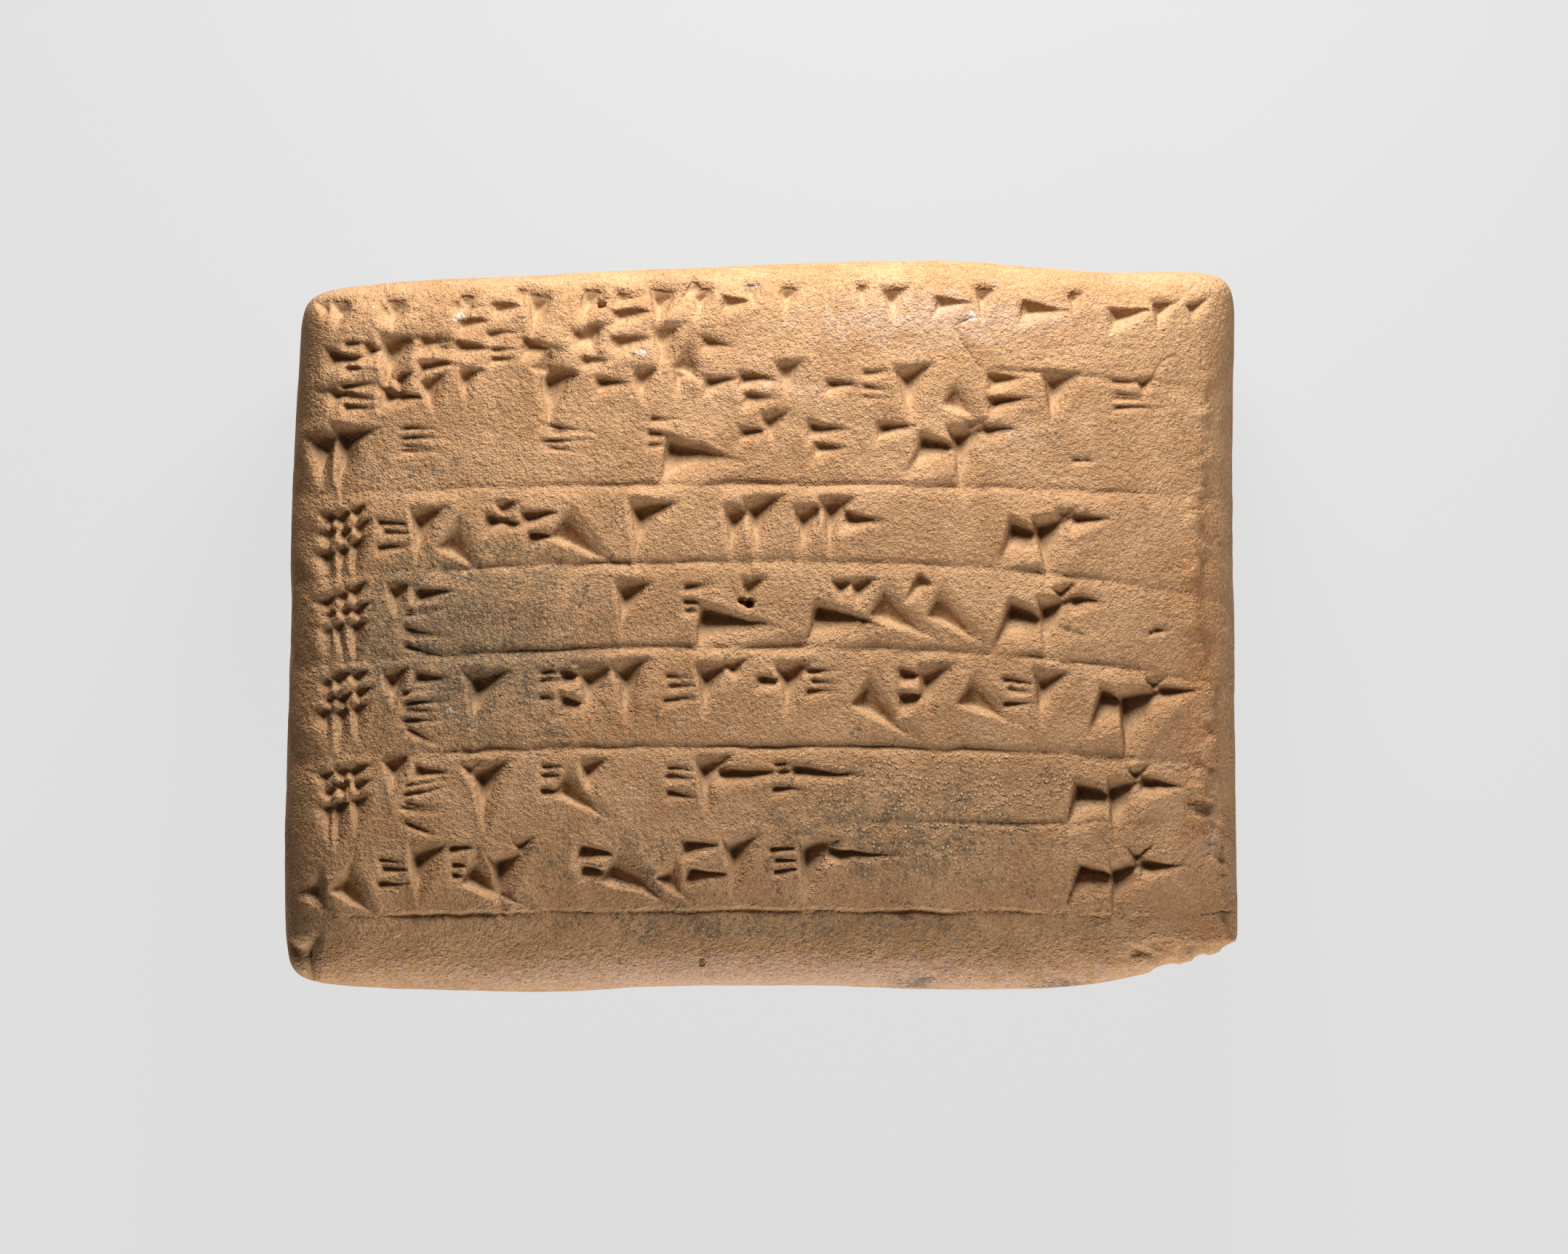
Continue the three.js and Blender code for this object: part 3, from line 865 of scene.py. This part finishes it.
@dataclass
class Tablet:
    """The dressed tablet: the blank with its writing, wear and stains."""

    blank: Blank = field(default_factory=Blank)
    triangles: int = 196_000
    name: str = "clay_tablet"
    lumps: float = 0.14
    swell: float = 0.16
    heave: float = 0.8
    heave_limit: float = 0.6
    heave_spread: float = 0.75
    heave_inside: float = 0.12
    unsteady: float = 0.18
    unsteady_pitch: float = 1.7
    roughness: float = 0.04
    worn_spread: float = 0.32
    skin_spread: float = 0.05

    def __post_init__(self) -> None:
        """Makes the chart of each side."""
        half = self.blank.length / 2
        self.face = self._written(Writing(Side.FACE, FACE_LINES, FACE_RULINGS, half))
        self.back = self._written(Writing(Side.BACK, BACK_LINES, BACK_RULINGS, half))
        self._age_face()

    def _written(self, writing: Writing) -> Chart:
        """A chart with one side's swells between the rulings, and its writing.

        Args:
            writing: The side's written and ruled lines.

        Returns:
            The chart of that side.
        """
        chart = Chart()
        writing.press(chart)
        chart.stir(self.unsteady, self.unsteady_pitch, seed=81)
        self._heave(chart)
        self._puff(chart, writing)
        return chart

    def _heave(self, chart: Chart) -> None:
        """Raises the clay beside the wedges: heave * blurred depth, none of it inside them."""
        dug = np.clip(-chart.height, 0.0, self.heave_limit)
        chart.height += self.heave * chart.blur(dug, self.heave_spread) * np.exp(-dug / self.heave_inside)

    def _puff(self, chart: Chart, writing: Writing) -> None:
        """Raises each band between two rulings as a low arch: swell * sqrt(4t(1 - t)).

        Args:
            chart: The written map.
            writing: Its lines; t runs from one long ruling to the next.
        """
        courses = sorted((r for r in writing.rulings if r.stop - r.start > 30), key=lambda r: r.middle)
        for lower, upper in zip(courses, courses[1:]):
            low = lower.course(chart.x, writing.half_length)
            high = upper.course(chart.x, writing.half_length)
            share = np.clip((chart.y - low) / (high - low), 0.0, 1.0)
            chart.height += self.swell * np.sqrt(4.0 * share * (1.0 - share))

    def _shoulder(self, chart: Chart) -> None:
        """Beats the right border down beyond a lumpy, flaking crest that edges the writing.

        Args:
            chart: The face's map.
        """
        crest = through_stations(SHOULDER, chart.y[:, :1])
        gap = chart.x - crest + 0.3 * layered_noise(chart.x, chart.y, 0.0, 1.6, 51)
        along = ease(chart.y, -20.0, -18.0) * (1.0 - ease(chart.y, 12.0, 16.5))
        lumps = 0.24 + 0.34 * layered_noise(chart.x, chart.y, 0.0, 1.0, 57)
        flakes = 0.16 * layered_noise(chart.x, chart.y, 0.0, 0.4, 61) * np.exp(-(((gap - 0.1) / 0.8) ** 2))
        crown = lumps * np.exp(-((gap / np.where(gap < 0, 0.6, 0.25)) ** 2))
        chart.height += along * (crown + flakes - 0.2 * ease(gap, 0.0, 1.2))

    def _age_face(self) -> None:
        """Wears, pits and cracks the written face."""
        chart = self.face
        self._shoulder(chart)
        worn = covered(chart, WORN_PATCHES)
        ragged = 0.35 * layered_noise(chart.x, chart.y, 0.0, 2.6, 21) * (worn > 0.05)
        worn = np.clip(worn + ragged, 0.0, 1.0)
        softened = chart.blur(chart.height, self.worn_spread)
        chart.height += (0.15 + 0.45 * worn) * (softened - chart.height)
        chart.height += worn * 0.2 * layered_noise(chart.x, chart.y, 0.0, 1.0, 27)
        chart.height += 0.06 * layered_noise(chart.x, chart.y, 0.0, 2.2, 33)
        chart.height = chart.blur(chart.height, self.skin_spread)
        for x, y, chip in CHIPS:
            chip.press(chart, x, y, lambda way: 0.0)
        for damage in CRACKS + HOLES + SCARS:
            damage.open(chart)

    def shape(self) -> tuple[Grid, Grid]:
        """The dressed points, in millimetres, and their quads.

        Returns:
            The blank's points, moved along their normals by the chart of their own side,
            faded out where the skin turns down, and by lumps and roughness everywhere.
        """
        points, quads = self.blank.surface()
        normal = outward(points, quads)
        x, y, z = points.T
        facing = ease(normal[:, 2], 0.12, 0.4)
        turned = ease(-normal[:, 2], 0.12, 0.4)
        relief = facing * self.face.sample(self.face.height, x, y)
        relief += turned * self.back.sample(self.back.height, x, -y)
        relief += self.lumps * layered_noise(x, y, z, 9.0, 3, 2)
        relief += self.roughness * layered_noise(x, y, z, 1.4, 5, 3)
        for notch in NOTCHES:
            near = np.hypot(x - notch.x, y - notch.y) < 2.0 * notch.radius
            relief[near] -= notch.bite(x[near], y[near], z[near])
        moved = points + normal * relief[:, None]
        moved[:, 2] = np.maximum(moved[:, 2], 0.0)
        return moved, quads

    def build(self, unit: float) -> bpy.types.Object:
        """Makes the mesh and thins it to its budget.

        Args:
            unit: Metres to a millimetre of the shape.

        Returns:
            The finished object, at the origin.
        """
        points, quads = self.shape()
        mesh = mesh_of(self.name, points * unit, quads)
        tablet = bpy.data.objects.new(self.name, mesh)
        bpy.context.scene.collection.objects.link(tablet)
        thin = tablet.modifiers.new("thin", "DECIMATE")
        thin.ratio = self.triangles / (2 * len(quads))
        bpy.context.view_layer.update()
        graph = bpy.context.evaluated_depsgraph_get()
        thinned = bpy.data.meshes.new_from_object(tablet.evaluated_get(graph))
        tablet.modifiers.clear()
        tablet.data = thinned
        bpy.data.meshes.remove(mesh)
        thinned.name = self.name
        thinned.shade_smooth()
        return tablet


# ---- Stains, painted light and shade -------------------------------------


@dataclass(frozen=True)
class Stain:
    """One stain: its attribute's name, its patches on the face, and its level elsewhere."""

    name: str
    patches: tuple[Patch, ...]
    elsewhere: float = 0.0


STAINS = (
    Stain(
        "patina",
        (
            Patch(-16.5, -1.0, 9.5, 7.5, 1.1),
            Patch(-20.0, 9.5, 5.5, 2.4, 0.6),
            Patch(8.0, -11.5, 12.0, 5.5, 0.8),
            Patch(-8.0, -13.5, 9.0, 3.5, 0.6),
            Patch(2.0, -16.8, 22.0, 1.3, 0.8),
            Patch(4.0, 1.0, 9.0, 4.0, 0.35),
            Patch(16.5, -20.3, 1.6, 0.6, 1.6),
            Patch(8.7, -20.2, 1.8, 0.6, 1.4),
        ),
        0.25,
    ),
    Stain(
        "blush_and_rim_shade",
        (
            Patch(-26.3, 0.0, 2.0, 24.0, 0.9),
            Patch(24.6, -3.0, 2.0, 16.0, 1.0),
            Patch(25.0, -18.0, 3.5, 3.0, 0.9),
            Patch(-13.0, 0.5, 5.5, 3.0, 0.8),
            Patch(-9.0, -5.0, 6.0, 2.0, 0.7),
            Patch(14.0, -5.5, 7.0, 2.0, 0.5),
            Patch(22.0, 8.5, 3.0, 2.5, 0.6),
            # Darker along the top rim: painted shade that tones down the key lamp's light there.
            Patch(0.0, 20.8, 28.0, 1.2, 0.9),
            Patch(8.0, -5.0, 8.0, 2.5, 0.45),
        ),
        0.35,
    ),
    Stain(
        "film_and_edge_light",
        (
            Patch(10.0, 17.3, 12.0, 2.3, 1.0),
            Patch(1.0, 13.5, 7.0, 2.4, 0.7),
            Patch(14.0, 11.0, 6.0, 3.0, 0.6),
            Patch(-14.5, 17.8, 3.0, 1.5, 0.5),
            # Paler along the bottom edge: painted light for the lit bottom band.
            Patch(0.0, -19.9, 27.0, 2.0, 1.2),
            Patch(26.4, 0.0, 1.2, 18.0, 0.6),
            Patch(25.3, -11.8, 0.9, 1.7, 1.0),
        ),
    ),
    Stain(
        "chalk",
        (
            Patch(-17.05, 17.35, 0.34, 0.3, 0.9),
            Patch(-6.8, 15.4, 0.32, 0.24, 0.9),
            Patch(-0.5, 19.15, 0.6, 0.13, 0.8),
            Patch(11.75, 17.4, 0.2, 0.2, 1.8),
            Patch(-20.4, -17.35, 0.26, 0.2, 1.1),
            Patch(-17.5, -4.7, 0.3, 0.22, 0.6),
            Patch(6.3, 4.0, 0.14, 0.1, 1.2),
        ),
    ),
    Stain(
        "beads",
        (
            Patch(10.0, -9.3, 8.5, 2.2, 1.3),
            Patch(9.0, -13.0, 9.0, 2.2, 0.8),
            Patch(-1.0, -6.0, 14.0, 6.0, 0.35),
            Patch(21.5, -13.0, 2.6, 2.5, 0.6),
        ),
        0.05,
    ),
)


@dataclass
class Staining:
    """Writes the stains, and the painted light and shade among them, onto a finished mesh, one value to
    each vertex.
    """

    face: Chart
    back: Chart
    unit: float

    def paint(self, mesh: bpy.types.Mesh) -> None:
        """Adds as attributes every stain, and how far the skin lies in a press and in a crease.

        Args:
            mesh: The finished mesh, in metres.
        """
        count = len(mesh.vertices)
        place = np.empty(count * 3, dtype=np.float32)
        mesh.vertices.foreach_get("co", place)
        x, y, z = place.reshape(-1, 3).astype(float).T / self.unit
        normal = np.empty(count * 3, dtype=np.float32)
        mesh.vertices.foreach_get("normal", normal)
        lean = normal.reshape(-1, 3)[:, 2]
        above = ease(lean, -0.1, 0.25)
        below = ease(-lean, 0.1, 0.4)
        for stain in STAINS:
            values = above * self.face.sample(covered(self.face, stain.patches), x, y)
            self._store(mesh, stain.name, values + (1.0 - above) * stain.elsewhere)
        for name, spread in (("pressed", 1.2), ("crease", 0.22)):
            values = above * self.face.sample(self._dip(self.face, spread), x, y)
            values += below * self.back.sample(self._dip(self.back, spread), x, -y)
            self._store(mesh, name, values)

    def _dip(self, chart: Chart, spread: float) -> Grid:
        """How far each place lies below the height blurred over `spread`."""
        return chart.blur(chart.height, spread) - chart.height

    def _store(self, mesh: bpy.types.Mesh, name: str, values: Grid) -> None:
        """Writes one value to each vertex."""
        mesh.attributes.new(name, "FLOAT", "POINT").data.foreach_set("value", values.astype(np.float32))


# ---- Finishes ------------------------------------------------------------

Colour = tuple[float, float, float]
Socket = bpy.types.NodeSocket
Source = Socket | float


class Sheet:
    """A material's node tree, with the few kinds of node that the finishes use."""

    def __init__(self, name: str) -> None:
        """Makes a material whose coordinates are the object's, in millimetres.

        Args:
            name: The material's name.
        """
        self.material = bpy.data.materials.new(name)
        self.material.use_nodes = True
        self.tree = self.material.node_tree
        self.shader = self.tree.nodes["Principled BSDF"]
        place = self.tree.nodes.new("ShaderNodeTexCoord")
        grow = self.tree.nodes.new("ShaderNodeMapping")
        grow.inputs["Scale"].default_value = (1 / MM,) * 3
        self.tree.links.new(place.outputs["Object"], grow.inputs["Vector"])
        self.place = grow.outputs["Vector"]

    def feed(self, socket: Socket, source: Source | Colour) -> None:
        """Links a socket to another, or sets its own value.

        Args:
            socket: The socket to fill.
            source: Another socket, a number or a colour.
        """
        if isinstance(source, Socket):
            self.tree.links.new(source, socket)
        elif isinstance(source, tuple) and len(socket.default_value) == 4:
            socket.default_value = (*source, 1.0)
        else:
            socket.default_value = source

    def attribute(self, name: str) -> Socket:
        """A vertex attribute's value.

        Args:
            name: The attribute's name.

        Returns:
            Its value as a socket.
        """
        node = self.tree.nodes.new("ShaderNodeAttribute")
        node.attribute_name = name
        return node.outputs["Fac"]

    def noise(self, size: float, detail: float = 2.0, roughness: float = 0.55, warp: float = 0.0) -> Socket:
        """Cloudy noise from 0 to 1, with features about `size` millimetres across.

        Args:
            size: Breadth of its features.
            detail: How many finer layers it has.
            roughness: Strength of each finer layer.
            warp: How far it is distorted.

        Returns:
            The noise as a socket.
        """
        node = self.tree.nodes.new("ShaderNodeTexNoise")
        node.inputs["Scale"].default_value = 1 / size
        node.inputs["Detail"].default_value = detail
        node.inputs["Roughness"].default_value = roughness
        node.inputs["Distortion"].default_value = warp
        self.tree.links.new(self.place, node.inputs["Vector"])
        return node.outputs["Fac"]

    def cells(self, size: float, output: str = "Distance") -> Socket:
        """Distance to the nearest of scattered points about `size` millimetres apart.

        Args:
            size: Spacing of the points.
            output: Which output is read.

        Returns:
            The chosen output.
        """
        node = self.tree.nodes.new("ShaderNodeTexVoronoi")
        node.inputs["Scale"].default_value = 1 / size
        self.tree.links.new(self.place, node.inputs["Vector"])
        return node.outputs[output]

    def sum(self, first: Source, how: str, second: Source) -> Socket:
        """One step of arithmetic, such as ADD or MULTIPLY.

        Args:
            first: The first number.
            how: The operation.
            second: The second number.

        Returns:
            The result as a socket.
        """
        node = self.tree.nodes.new("ShaderNodeMath")
        node.operation = how
        self.feed(node.inputs[0], first)
        self.feed(node.inputs[1], second)
        return node.outputs[0]

    def ramp(
        self, value: Source, low: float, high: float, to_low: float = 0.0, to_high: float = 1.0
    ) -> Socket:
        """Smooth step of a value from low to high.

        Args:
            value: What is ramped.
            low: Where it starts.
            high: Where it ends.
            to_low: The result at the start.
            to_high: The result at the end.

        Returns:
            The ramped value as a socket.
        """
        node = self.tree.nodes.new("ShaderNodeMapRange")
        node.interpolation_type = "SMOOTHSTEP"
        for socket, source in zip(node.inputs, (value, low, high, to_low, to_high)):
            self.feed(socket, source)
        return node.outputs["Result"]

    def blend(self, share: Source, under: Source | Colour, over: Source | Colour) -> Socket:
        """One colour over another.

        Args:
            share: How much of the upper one shows.
            under: The lower one.
            over: The upper one.

        Returns:
            The mixed colour as a socket.
        """
        node = self.tree.nodes.new("ShaderNodeMix")
        node.data_type = "RGBA"
        self.feed(node.inputs["Factor"], share)
        self.feed(node.inputs[6], under)
        self.feed(node.inputs[7], over)
        return node.outputs[2]

    def bump(
        self, height: Source, depth: float, strength: float = 1.0, under: Socket | None = None
    ) -> Socket:
        """A bumped normal, `depth` millimetres from 0 to 1.

        Args:
            height: The relief, from 0 to 1.
            depth: What 1 stands for, in millimetres.
            strength: Share of the bump that shows.
            under: A normal to start from.

        Returns:
            The normal as a socket.
        """
        node = self.tree.nodes.new("ShaderNodeBump")
        node.inputs["Strength"].default_value = strength
        node.inputs["Distance"].default_value = depth * MM
        self.feed(node.inputs["Height"], height)
        if under is not None:
            self.feed(node.inputs["Normal"], under)
        return node.outputs["Normal"]


@dataclass(frozen=True)
class ClayFinish:
    """Dry tan clay, finely granular, with patina, blush, film, chalk, beads and dirt; with painted shade in
    its creases and along its top rim, painted highlights on its ridges and partly in its presses, and
    painted light along its bottom edge.
    """

    tan: Colour = (0.48, 0.256, 0.119)
    pale: Colour = (0.58, 0.327, 0.164)
    olive: Colour = (0.27, 0.18, 0.10)
    soot: Colour = (0.12, 0.092, 0.066)
    rust_and_rim_shade: Colour = (0.47, 0.207, 0.078)
    bloom_and_edge_light: Colour = (0.60, 0.385, 0.27)
    chalk: Colour = (0.66, 0.58, 0.49)
    # Dark brown: dirt in the grain, and painted shade in the creases.
    dirt_and_shade: Colour = (0.20, 0.115, 0.055)
    sand: Colour = (0.74, 0.47, 0.26)
    # Paler clay of the presses, partly painted highlight.
    slip_and_highlight: Colour = (0.56, 0.36, 0.19)
    dull: float = 0.93

    def make(self) -> bpy.types.Material:
        """Mixes the clay, from its body colour up to the chalk on top.

        Returns:
            The clay material.
        """
        sheet = Sheet("clay")
        mottle = sheet.noise(3.5, 4.0, 0.6)
        fine = sheet.noise(0.3, 3.0, 0.65)
        grit = sheet.noise(0.11, 1.0, 0.5)
        colour = sheet.blend(sheet.ramp(mottle, 0.38, 0.62), self.tan, self.pale)
        # Orange-brown blush, which along the top rim is painted shade.
        colour = sheet.blend(self._broken(sheet, "blush_and_rim_shade", 1.3, 0.5), colour, self.rust_and_rim_shade)
        colour = sheet.blend(self._broken(sheet, "patina", 1.0, 0.45), colour, self.olive)
        # Pinkish film, which along the bottom edge is painted light.
        colour = sheet.blend(self._broken(sheet, "film_and_edge_light", 0.7, 0.5), colour, self.bloom_and_edge_light)
        # Darker in creases and at the bottoms of the presses: painted shade.
        colour = sheet.blend(sheet.ramp(sheet.attribute("crease"), 0.02, 0.22, 0.0, 0.5), colour, self.dirt_and_shade)
        # Paler on raised rims and crests, where the skin stands above its surroundings: painted highlight.
        rubbed = sheet.ramp(sheet.attribute("crease"), -0.03, -0.14, 0.0, 0.3)
        colour = sheet.blend(rubbed, colour, self.pale)
        # Paler across each press: the smooth pressed skin, and partly painted highlight for the lit walls.
        colour = sheet.blend(sheet.ramp(sheet.attribute("pressed"), 0.05, 0.4, 0.0, 0.6), colour, self.slip_and_highlight)
        colour = sheet.blend(sheet.ramp(fine, 0.35, 0.72, 0.0, 0.35), colour, self.dirt_and_shade)
        colour = sheet.blend(sheet.ramp(grit, 0.52, 0.8, 0.0, 0.6), colour, self.dirt_and_shade)
        colour = sheet.blend(sheet.ramp(grit, 0.46, 0.2, 0.0, 0.6), colour, self.sand)
        colour = sheet.blend(self._soot(sheet), colour, self.soot)
        grains = sheet.ramp(sheet.cells(1.5), 0.07, 0.03)
        colour = sheet.blend(sheet.sum(grains, "MULTIPLY", 0.6), colour, self.chalk)
        colour = sheet.blend(sheet.sum(self._beads(sheet), "MULTIPLY", 0.7), colour, self.sand)
        crumbly = sheet.ramp(sheet.noise(0.16, 2.0), 0.3, 0.7, -0.5, 0.1)
        chalked = sheet.sum(sheet.attribute("chalk"), "ADD", crumbly)
        colour = sheet.blend(sheet.ramp(chalked, 0.15, 0.45, 0.0, 0.85), colour, self.chalk)
        sheet.feed(sheet.shader.inputs["Base Color"], colour)
        sheet.feed(sheet.shader.inputs["Roughness"], sheet.ramp(fine, 0.2, 0.8, self.dull - 0.08, 1.0))
        sheet.shader.inputs["Specular IOR Level"].default_value = 0.2
        sheet.feed(sheet.shader.inputs["Normal"], self._grain(sheet))
        return sheet.material

    def _broken(self, sheet: Sheet, name: str, size: float, share: float) -> Socket:
        """A stain broken up by noise, so that it lies in flecks where it is thin.

        Args:
            sheet: The material's node tree.
            name: The stain's attribute.
            size: Breadth of the flecks.
            share: The level from which it shows.

        Returns:
            How much of the stain shows.
        """
        flecks = sheet.sum(sheet.noise(size, 6.0, 0.75, 0.4), "SUBTRACT", 0.5)
        level = sheet.sum(sheet.attribute(name), "ADD", sheet.sum(flecks, "MULTIPLY", 3.2))
        return sheet.ramp(level, share, share + 0.6, 0.0, 0.75)

    def _soot(self, sheet: Sheet) -> Socket:
        """Dark grains: a thin scatter everywhere, and close clusters where the patina lies.

        Args:
            sheet: The material's node tree.

        Returns:
            How much of the soot colour shows.
        """
        clusters = sheet.sum(sheet.noise(1.3, 3.0, 0.6), "MULTIPLY", 0.7)
        level = sheet.sum(sheet.noise(0.24, 2.0, 0.6), "ADD", clusters)
        level = sheet.sum(level, "ADD", sheet.sum(sheet.attribute("patina"), "MULTIPLY", 0.18))
        close = sheet.ramp(level, 1.05, 1.14, 0.0, 0.65)
        thin = sheet.sum(sheet.ramp(sheet.cells(1.3), 0.1, 0.06), "MULTIPLY", 0.55)
        return sheet.sum(close, "MAXIMUM", thin)

    def _beads(self, sheet: Sheet) -> Socket:
        """Round grains, scattered where the stain of that name lies.

        Args:
            sheet: The material's node tree.

        Returns:
            The beads' height, from 0 to 1.
        """
        scatter = sheet.sum(sheet.attribute("beads"), "MULTIPLY", sheet.cells(0.3, "Color"))
        domes = sheet.ramp(sheet.cells(0.3), 0.4, 0.15)
        return sheet.sum(domes, "MULTIPLY", sheet.ramp(scatter, 0.25, 0.4))

    def _grain(self, sheet: Sheet) -> Socket:
        """The granular skin: pebbles, two noises and the beads.

        Args:
            sheet: The material's node tree.

        Returns:
            The skin's bumped normal.
        """
        skin = sheet.ramp(sheet.attribute("pressed"), 0.08, 0.3, 1.0, 0.3)
        pebbles = sheet.ramp(sheet.cells(0.34), 0.65, 0.05)
        normal = sheet.bump(sheet.sum(pebbles, "MULTIPLY", skin), 0.036, 1.0)
        normal = sheet.bump(sheet.sum(sheet.noise(0.45, 3.0, 0.65), "MULTIPLY", skin), 0.12, 0.8, normal)
        normal = sheet.bump(sheet.sum(sheet.noise(0.11, 1.0, 0.5), "MULTIPLY", skin), 0.1, 0.9, normal)
        return sheet.bump(self._beads(sheet), 0.1, 1.0, normal)


@dataclass(frozen=True)
class TableFinish:
    """A plain pale table that glows evenly, as a lightbox does."""

    colour: Colour = (0.76, 0.76, 0.76)
    glow: float = 0.93

    def make(self) -> bpy.types.Material:
        """Mixes the table, most of whose light is its own glow.

        Returns:
            The table material.
        """
        sheet = Sheet("table")
        share = 1.0 - self.glow
        sheet.shader.inputs["Base Color"].default_value = (*(share * c for c in self.colour), 1.0)
        sheet.shader.inputs["Roughness"].default_value = 1.0
        sheet.shader.inputs["Specular IOR Level"].default_value = 0.0
        sheet.shader.inputs["Emission Color"].default_value = (*self.colour, 1.0)
        sheet.shader.inputs["Emission Strength"].default_value = self.glow
        return sheet.material


# ---- Studio --------------------------------------------------------------


@dataclass
class Studio:
    """The table, the lamps and the camera, placed from the part's box."""

    low: Grid
    high: Grid
    frame_width: float = 0.0896
    aside: float = 0.00122
    lens: float = 180.0
    sensor: float = 36.0
    parting_share: float = 0.51
    table_reach: float = 1.5
    room_light: float = 0.035

    def stand(self) -> None:
        """Places everything."""
        self.look_down()
        self.lay_table()
        self.hang_lamp("key", azimuth=83, elevation=31, distance=0.09, size=0.0375, power=0.149)
        self.hang_lamp("skim", azimuth=-75, elevation=10, distance=0.25, size=0.1, power=0.56)
        world = bpy.data.worlds.new("room")
        world.use_nodes = True
        world.node_tree.nodes["Background"].inputs["Color"].default_value = (1, 1, 1, 1)
        world.node_tree.nodes["Background"].inputs["Strength"].default_value = self.room_light
        bpy.context.scene.world = world
        bpy.context.scene.view_settings.view_transform = "Standard"

    def look_down(self) -> None:
        """Hangs the camera straight above, at the distance that gives the frame's width."""
        camera = bpy.data.cameras.new("camera")
        camera.lens = self.lens
        camera.sensor_width = self.sensor
        camera.clip_start = 0.01
        holder = bpy.data.objects.new("camera", camera)
        height = self.high[2] * self.parting_share + self.frame_width * self.lens / self.sensor
        middle = (self.low + self.high) / 2
        holder.location = (middle[0] + self.aside, middle[1], height)
        bpy.context.scene.collection.objects.link(holder)
        bpy.context.scene.camera = holder

    def lay_table(self) -> None:
        """A plain square of table under the tablet."""
        reach = self.table_reach
        corners = np.array([(-reach, -reach, 0), (reach, -reach, 0), (reach, reach, 0), (-reach, reach, 0)])
        table = bpy.data.objects.new("table", mesh_of("table", corners, np.array([[0, 1, 2, 3]])))
        table.data.materials.append(TableFinish().make())
        bpy.context.scene.collection.objects.link(table)

    def hang_lamp(
        self, name: str, azimuth: float, elevation: float, distance: float, size: float, power: float
    ) -> None:
        """Hangs a square soft lamp that faces the middle of the part.

        Args:
            name: The lamp's name.
            azimuth: Its bearing from +X, in degrees towards +Y.
            elevation: Its height above the table, in degrees.
            distance: From the middle of the part, in metres.
            size: The side of its square, in metres.
            power: In watts.
        """
        lamp = bpy.data.lights.new(name, "AREA")
        lamp.size = size
        lamp.energy = power
        holder = bpy.data.objects.new(name, lamp)
        around, up = math.radians(azimuth), math.radians(elevation)
        flat = distance * math.cos(up)
        middle = (self.low + self.high) / 2
        reach = (flat * math.cos(around), flat * math.sin(around), distance * math.sin(up))
        holder.location = middle + np.array(reach)
        holder.rotation_euler = (math.pi / 2 - up, 0.0, around + math.pi / 2)
        bpy.context.scene.collection.objects.link(holder)


# ---- Putting it together -------------------------------------------------


def main() -> None:
    """Builds the studio and the tablet, and reports each piece."""
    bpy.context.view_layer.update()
    low, high = (np.array(corner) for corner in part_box(NODE))
    Studio(low, high).stand()
    tablet = Tablet()
    unit = (high[0] - low[0]) / tablet.blank.length
    piece = tablet.build(unit)
    Staining(tablet.face, tablet.back, unit).paint(piece.data)
    piece.data.materials.append(ClayFinish().make())
    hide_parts(NODE)
    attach(piece, "root")
    log.info("%s: %d triangles", piece.name, len(piece.data.polygons))


if __name__ == "__main__":
    logging.basicConfig(level=logging.INFO)
    main()
